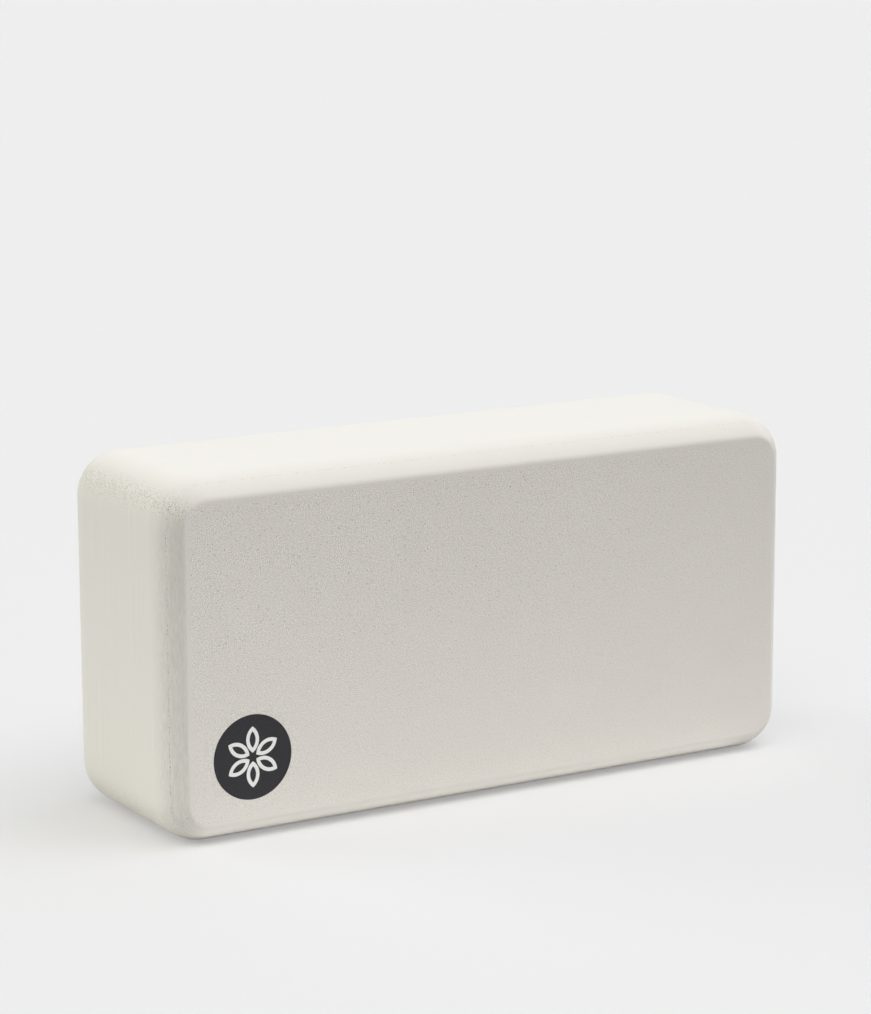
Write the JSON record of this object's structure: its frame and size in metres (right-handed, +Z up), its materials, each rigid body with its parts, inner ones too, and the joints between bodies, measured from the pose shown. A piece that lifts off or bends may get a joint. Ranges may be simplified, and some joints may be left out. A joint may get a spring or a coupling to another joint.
{
  "type": "foam exercise block",
  "caption": "Rectangular closed-cell foam exercise block with rounded narrow sides and corners, flat broad faces and a round printed badge near one corner.",
  "frame": {"origin": "centre of the block's base, where it stands on a long narrow side", "axes": "+X along the block's length towards the end away from the badge, +Y through its thickness towards the plain broad face, +Z up from the base to the opposite long narrow side; the badge faces -Y"},
  "size_m": [0.2286, 0.07, 0.113],
  "materials": {
    "foam": "matte",
    "dark_print": "matte",
    "white_print": "matte"
  },
  "bodies": {
    "root": {"foam_block": "foam", "badge_disc": "dark_print", "badge_motif": "white_print"}
  },
  "joints": []
}
